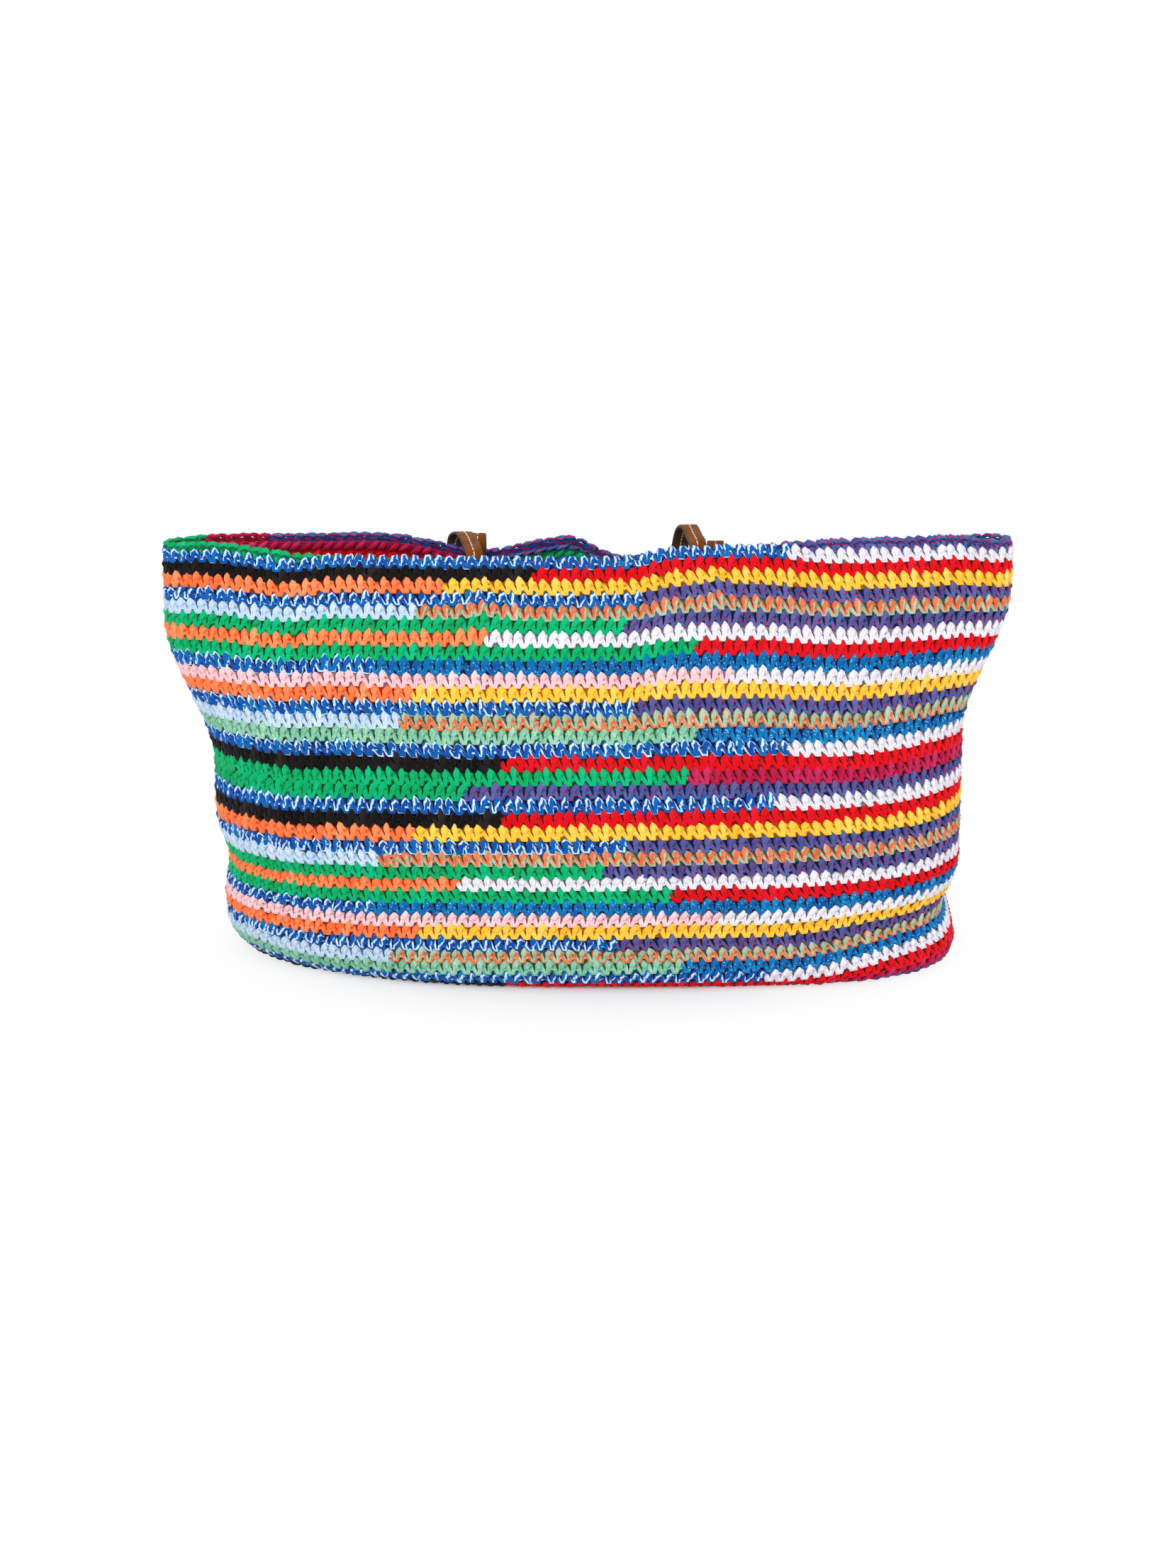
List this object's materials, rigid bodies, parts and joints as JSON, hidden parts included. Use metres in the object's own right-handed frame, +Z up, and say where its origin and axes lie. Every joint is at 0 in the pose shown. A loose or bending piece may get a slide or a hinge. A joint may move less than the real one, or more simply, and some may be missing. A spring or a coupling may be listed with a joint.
{
  "type": "crochet tote bag",
  "caption": "Wide striped crochet tote with an oval base, a slot-like open mouth and flat leather handles flopped over the rear rim.",
  "frame": {"origin": "middle of the flat underside of the base, on the surface that the bag stands on", "axes": "+X along the mouth from its left end to its right end seen from the front, +Y from the front wall to the back wall where the handles hang, +Z up"},
  "size_m": [0.5318, 0.222, 0.2705],
  "materials": {
    "crochet_yarn": "chunky matt cotton yarn in stripes of many colours, worked in single crochet",
    "strap_leather": "smooth tan leather with darker edges and one line of cream stitching"
  },
  "bodies": {
    "root": {"crochet_body": "crochet_yarn", "front_handle": "strap_leather", "back_handle": "strap_leather"}
  },
  "joints": []
}
